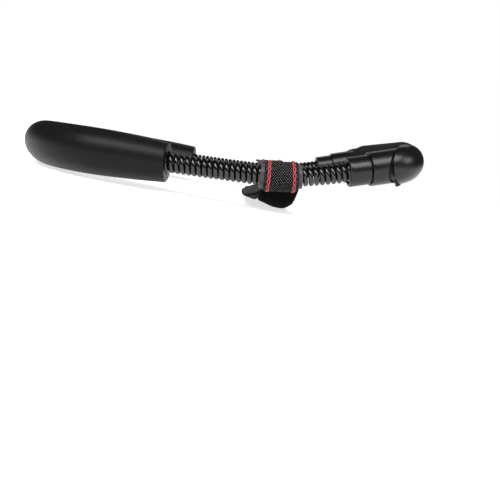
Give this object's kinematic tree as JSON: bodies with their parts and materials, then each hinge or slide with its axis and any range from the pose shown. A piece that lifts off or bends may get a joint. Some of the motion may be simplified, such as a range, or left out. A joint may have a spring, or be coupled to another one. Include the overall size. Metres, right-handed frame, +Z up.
{
  "type": "hand and arm trainer",
  "caption": "Hand and arm trainer: a foam-covered forearm frame, coil springs with a padded wrist sling between them, and a cross grip that turns on its rod.",
  "frame": {"origin": "middle of the wrist sling's flat underside, on which the part lies", "axes": "+X from the forearm frame to the grip, +Y to the left, +Z up; the grip's axis is parallel to Y"},
  "size_m": [0.3226, 0.1636, 0.0726],
  "materials": {
    "frame_foam": "soft closed-cell foam with a smooth matte skin",
    "frame_steel": "drawn steel, plain",
    "spring_black": "gloss black coated spring wire",
    "liner_plastic": "satin grey plastic",
    "webbing": "woven black webbing with red edge stitching",
    "sling_fabric": "black woven band",
    "pad_fabric": "charcoal foam-backed fabric",
    "socket_plastic": "satin black moulded plastic",
    "core_plastic": "black moulded plastic",
    "cap_plastic": "satin black moulded plastic",
    "handle_steel": "turned steel, plain",
    "washer_nylon": "black nylon",
    "grip_foam": "dense foam grip, matte"
  },
  "bodies": {
    "forearm_frame": {"foam_sleeve": "frame_foam", "frame_tube": "frame_steel", "frame_plug_right": "frame_steel", "frame_plug_left": "frame_steel", "frame_pin_right": "frame_steel", "frame_pin_left": "frame_steel"},
    "wrist_cradle": {"spring_right": "spring_black", "spring_left": "spring_black", "spring_liner_right": "liner_plastic", "spring_liner_left": "liner_plastic", "webbing_loop_right": "webbing", "webbing_loop_left": "webbing", "sling_band": "sling_fabric", "wrist_pad": "pad_fabric"},
    "handle_frame": {"spring_ferrule_right": "socket_plastic", "spring_ferrule_left": "socket_plastic", "socket_sleeve_right": "socket_plastic", "socket_sleeve_left": "socket_plastic", "elbow_core_right": "core_plastic", "elbow_core_left": "core_plastic", "corner_cap_right": "cap_plastic", "corner_cap_left": "cap_plastic", "handle_spigot_right": "handle_steel", "handle_spigot_left": "handle_steel", "handle_pin_right": "handle_steel", "handle_pin_left": "handle_steel", "handle_rod": "handle_steel", "rod_screw_right": "handle_steel", "rod_screw_left": "handle_steel", "thrust_washer_right": "washer_nylon", "thrust_washer_left": "washer_nylon"},
    "grip": {"grip_tube": "washer_nylon", "grip_foam": "grip_foam"}
  },
  "joints": [
    {"name": "rear_flex", "type": "hinge", "parent": "forearm_frame", "child": "wrist_cradle", "pos_m": [-0.04955, 0, 0.02426], "axis": [0, -1, 0], "range_deg": [-11, 36], "stiffness_Nm_per_rad": 30, "deforming": ["spring_right", "spring_left"]},
    {"name": "front_flex", "type": "hinge", "parent": "wrist_cradle", "child": "handle_frame", "pos_m": [0.03159, 0, 0.03603], "axis": [0, -1, 0], "range_deg": [-5.6, 18.2], "stiffness_Nm_per_rad": 60, "deforming": ["spring_right", "spring_left"]},
    {"name": "grip_spin", "type": "hinge", "parent": "handle_frame", "child": "grip", "pos_m": [0.09119, 0, 0.05673], "axis": [0, 1, 0], "continuous": true}
  ],
  "couplings": [
    {"joint": "front_flex", "follows": "rear_flex", "ratio": 0.5}
  ]
}
